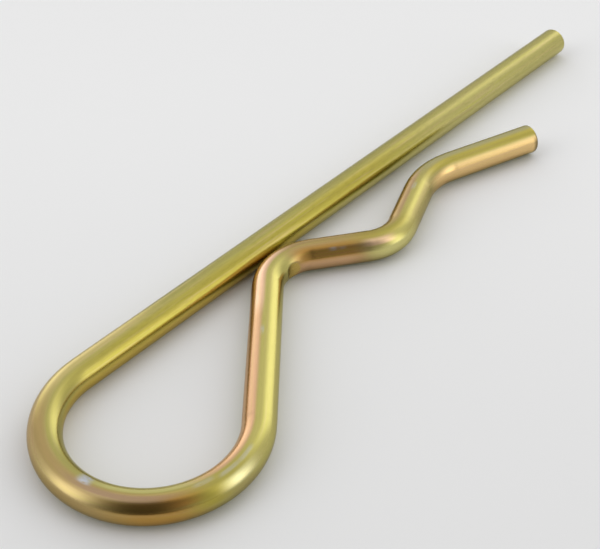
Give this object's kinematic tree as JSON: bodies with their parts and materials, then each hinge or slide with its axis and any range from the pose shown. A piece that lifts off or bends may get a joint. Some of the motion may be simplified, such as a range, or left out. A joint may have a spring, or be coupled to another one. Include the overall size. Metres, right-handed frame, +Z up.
{
  "type": "spring cotter clip",
  "caption": "R-shaped spring cotter clip bent from round wire: a straight leg for a shaft's cross hole, a loop at the back and a waved leg that grips the shaft.",
  "frame": {"origin": "where the centre line of the gripped shaft crosses the centre line of the straight leg, in the middle plane of the wire", "axes": "+X along the straight leg towards its tip, +Y from the waved leg towards the straight leg, +Z up, square to the plane of the clip and along the gripped shaft"},
  "size_m": [0.1403, 0.0347, 0.005],
  "materials": {
    "yellow_zinc_wire": "spring steel wire, zinc plated with a yellow iridescent passivate, satin"
  },
  "bodies": {
    "root": {"clip_wire": "yellow_zinc_wire"}
  },
  "joints": []
}
